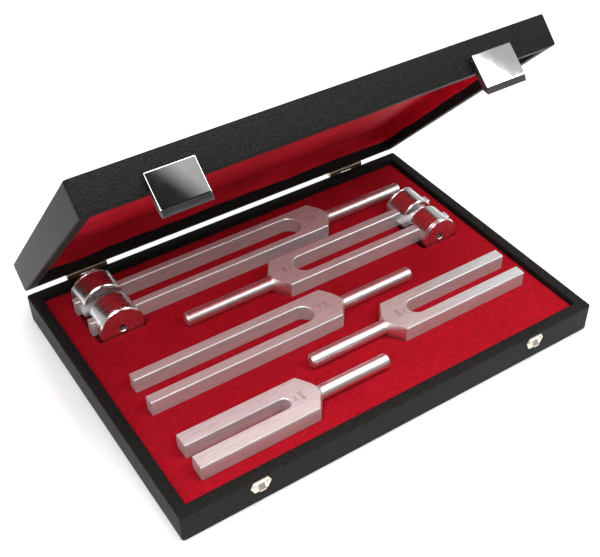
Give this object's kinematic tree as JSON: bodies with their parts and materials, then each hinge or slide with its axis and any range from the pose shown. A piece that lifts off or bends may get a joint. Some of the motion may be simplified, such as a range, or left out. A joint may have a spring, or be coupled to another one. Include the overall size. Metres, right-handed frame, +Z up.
{
  "type": "tuning fork set",
  "caption": "Boxed tuning forks with flat bar prongs and round stems, some with sliding screw-locked weights, lying in a lined hinged case with sprung front clasps.",
  "frame": {"origin": "centre of the flat underside of the case", "axes": "+X right along the hinge line seen from the front, +Y back towards the hinges, +Z up"},
  "size_m": [0.26, 0.2005, 0.1649],
  "materials": {
    "leatherette": "black grained covering glued over the boards",
    "velvet": "red short pile",
    "satin": "red woven lining, slightly loose",
    "fork_metal": "satin, drawn along the bar, turned stem polished",
    "weight_metal": "polished, turned",
    "screw_metal": "plain steel",
    "clasp_plate": "bright nickel plate",
    "clasp_steel": "pressed sheet",
    "catch_plate": "warm nickel wash",
    "hinge_metal": "dulled brass wash"
  },
  "bodies": {
    "case": {"base_frame": "leatherette", "base_panel": "leatherette", "insert": "velvet", "hinge_base_leaf_left": "hinge_metal", "hinge_base_leaf_right": "hinge_metal", "hinge_pin_left": "hinge_metal", "hinge_pin_right": "hinge_metal", "hinge_base_nails": "hinge_metal", "catch_left": "catch_plate", "catch_right": "catch_plate", "catch_nails": "catch_plate"},
    "lid": {"lid_frame": "leatherette", "lid_panel": "leatherette", "lid_lining": "satin", "hinge_lid_leaf_left": "hinge_metal", "hinge_lid_leaf_right": "hinge_metal", "hinge_lid_nails": "hinge_metal", "clasp_bracket_left": "clasp_steel", "clasp_bracket_right": "clasp_steel", "clasp_spring_left": "clasp_steel", "clasp_spring_right": "clasp_steel", "clasp_pin_left": "clasp_steel", "clasp_pin_right": "clasp_steel", "clasp_nails": "clasp_steel"},
    "clasp_left": {"clasp_cover_left": "clasp_plate"},
    "clasp_right": {"clasp_cover_right": "clasp_plate"},
    "fork_128": {"fork_128": "fork_metal"},
    "fork_256": {"fork_256": "fork_metal"},
    "fork_512": {"fork_512": "fork_metal"},
    "fork_1024": {"fork_1024": "fork_metal"},
    "fork_2048": {"fork_2048": "fork_metal"},
    "weight_128_front": {"weight_128_front": "weight_metal"},
    "weight_128_rear": {"weight_128_rear": "weight_metal"},
    "weight_256_front": {"weight_256_front": "weight_metal"},
    "weight_256_rear": {"weight_256_rear": "weight_metal"},
    "screw_128_front": {"screw_128_front": "screw_metal"},
    "screw_128_rear": {"screw_128_rear": "screw_metal"},
    "screw_256_front": {"screw_256_front": "screw_metal"},
    "screw_256_rear": {"screw_256_rear": "screw_metal"}
  },
  "joints": [
    {"name": "lid_hinge", "type": "hinge", "parent": "case", "child": "lid", "pos_m": [0, 0.0951, 0.0181], "axis": [-1, 0, 0], "range_deg": [-46, 134]},
    {"name": "clasp_left_pivot", "type": "hinge", "parent": "lid", "child": "clasp_left", "pos_m": [-0.087, -0.03236, 0.15873], "axis": [-1, 0, 0], "range_deg": [-4, 50]},
    {"name": "clasp_right_pivot", "type": "hinge", "parent": "lid", "child": "clasp_right", "pos_m": [0.088, -0.03236, 0.15873], "axis": [-1, 0, 0], "range_deg": [-4, 50]},
    {"name": "fork_128_lift", "type": "slide", "parent": "case", "child": "fork_128", "axis": [0, 0, 1], "range_m": [0, 0.02]},
    {"name": "fork_256_lift", "type": "slide", "parent": "case", "child": "fork_256", "axis": [0, 0, 1], "range_m": [0, 0.05]},
    {"name": "fork_512_lift", "type": "slide", "parent": "case", "child": "fork_512", "axis": [0, 0, 1], "range_m": [0, 0.06]},
    {"name": "fork_1024_lift", "type": "slide", "parent": "case", "child": "fork_1024", "axis": [0, 0, 1], "range_m": [0, 0.06]},
    {"name": "fork_2048_lift", "type": "slide", "parent": "case", "child": "fork_2048", "axis": [0, 0, 1], "range_m": [0, 0.06]},
    {"name": "weight_128_front_slide", "type": "slide", "parent": "fork_128", "child": "weight_128_front", "axis": [1, 0, 0], "range_m": [-0.0015, 0.0015]},
    {"name": "weight_128_rear_slide", "type": "slide", "parent": "fork_128", "child": "weight_128_rear", "axis": [1, 0, 0], "range_m": [-0.0015, 0.0015]},
    {"name": "weight_256_front_slide", "type": "slide", "parent": "fork_256", "child": "weight_256_front", "axis": [1, 0, 0], "range_m": [-0.0015, 0.0015]},
    {"name": "weight_256_rear_slide", "type": "slide", "parent": "fork_256", "child": "weight_256_rear", "axis": [1, 0, 0], "range_m": [-0.0015, 0.0015]},
    {"name": "screw_128_front_turn", "type": "hinge", "parent": "weight_128_front", "child": "screw_128_front", "pos_m": [-0.0962, 0.0403, 0.0184], "axis": [0, -1, 0], "continuous": true},
    {"name": "screw_128_rear_turn", "type": "hinge", "parent": "weight_128_rear", "child": "screw_128_rear", "pos_m": [-0.0962, 0.0733, 0.0184], "axis": [0, 1, 0], "continuous": true},
    {"name": "screw_256_front_turn", "type": "hinge", "parent": "weight_256_front", "child": "screw_256_front", "pos_m": [0.0987, 0.0067, 0.0184], "axis": [0, -1, 0], "continuous": true},
    {"name": "screw_256_rear_turn", "type": "hinge", "parent": "weight_256_rear", "child": "screw_256_rear", "pos_m": [0.0987, 0.0397, 0.0184], "axis": [0, 1, 0], "continuous": true}
  ]
}
